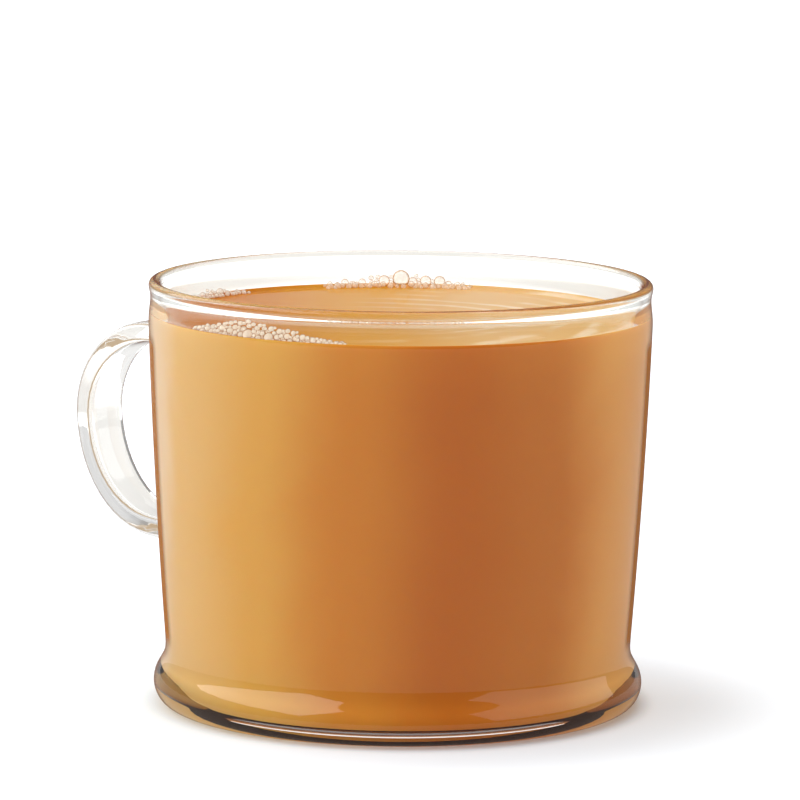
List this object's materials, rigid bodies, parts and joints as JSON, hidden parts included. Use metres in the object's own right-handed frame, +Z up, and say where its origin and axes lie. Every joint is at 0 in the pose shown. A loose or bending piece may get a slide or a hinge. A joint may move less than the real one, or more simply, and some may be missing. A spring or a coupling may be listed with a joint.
{
  "type": "glass cup of milky coffee",
  "caption": "Clear pressed-glass coffee cup with a strap handle and rounded foot, filled nearly to the rim with milky coffee that carries small patches of bubbles.",
  "frame": {"origin": "centre of the flat underside of the glass", "axes": "+Z up, -X along the handle, +Y across the handle"},
  "size_m": [0.1127, 0.088, 0.0744],
  "materials": {
    "glass": "clear pressed glass, fire polished",
    "coffee": "wet, opaque milky coffee",
    "bubbles": "thin wet film"
  },
  "bodies": {
    "root": {"glass_cup": "glass", "coffee": "coffee", "foam_back": "bubbles", "foam_left": "bubbles", "foam_front": "bubbles"}
  },
  "joints": []
}
